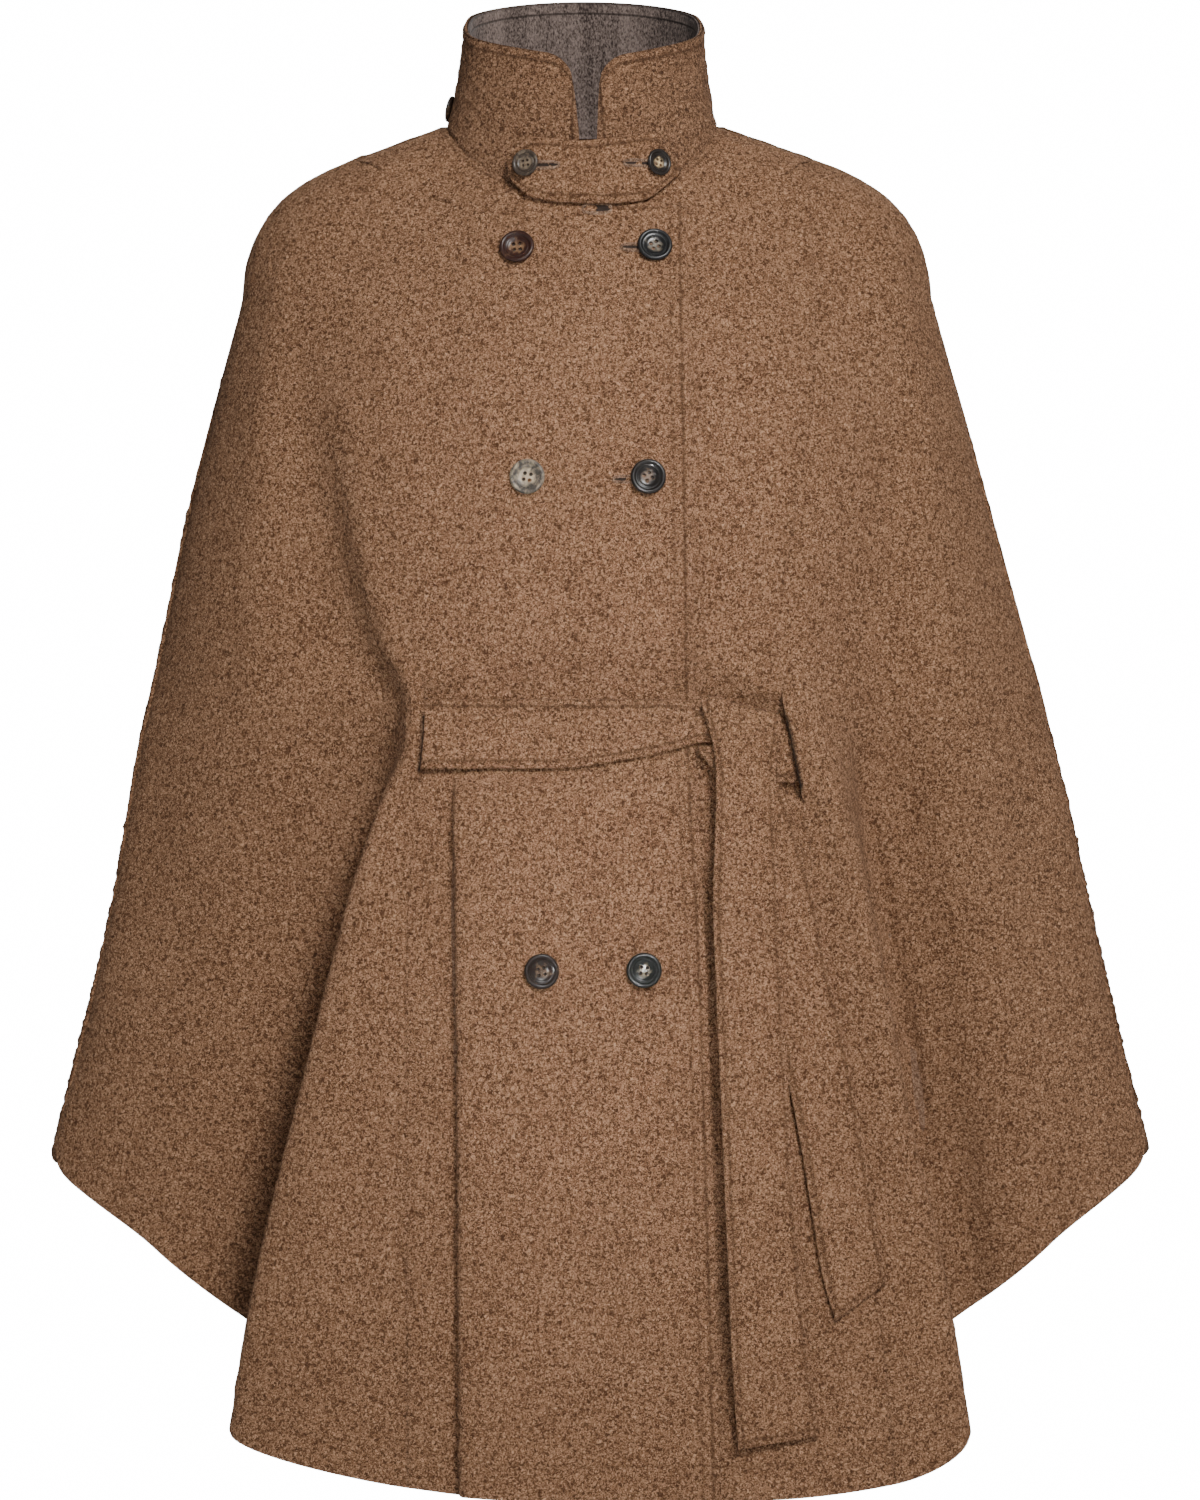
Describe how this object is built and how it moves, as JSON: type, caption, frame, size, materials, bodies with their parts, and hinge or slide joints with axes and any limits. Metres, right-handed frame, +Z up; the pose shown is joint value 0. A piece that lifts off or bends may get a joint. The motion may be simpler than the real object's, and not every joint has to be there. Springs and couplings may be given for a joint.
{
  "type": "wool cape",
  "caption": "Belted double-breasted boucle wool cape with stand collar, throat tab and half-knotted belt, filled out as worn with no wearer.",
  "frame": {"origin": "middle of the neck base, at the height where the cape rests on the wearer's shoulders", "axes": "+Z up, the front faces -Y, the wearer's right side is at -X"},
  "size_m": [0.737, 0.3035, 1.0031],
  "materials": {
    "boucle_wool": "brown curled boucle, matt and fuzzy",
    "collar_facing_wool": "grey-brown felted wool, matt",
    "horn_button": "polished dark mottled horn look"
  },
  "bodies": {
    "root": {"front_right": "boucle_wool", "front_left": "boucle_wool", "side_front_right": "boucle_wool", "side_front_left": "boucle_wool", "back": "boucle_wool", "collar": "boucle_wool", "collar_tab": "boucle_wool", "belt_loop": "boucle_wool", "belt_knot": "boucle_wool", "belt_tail_long": "boucle_wool", "belt_tail_short": "boucle_wool", "collar_facing": "collar_facing_wool", "button_top_right": "horn_button", "button_top_left": "horn_button", "button_chest_right": "horn_button", "button_chest_left": "horn_button", "button_skirt_right": "horn_button", "button_skirt_left": "horn_button", "button_tab_right": "horn_button", "button_tab_left": "horn_button", "button_collar": "horn_button"}
  },
  "joints": []
}
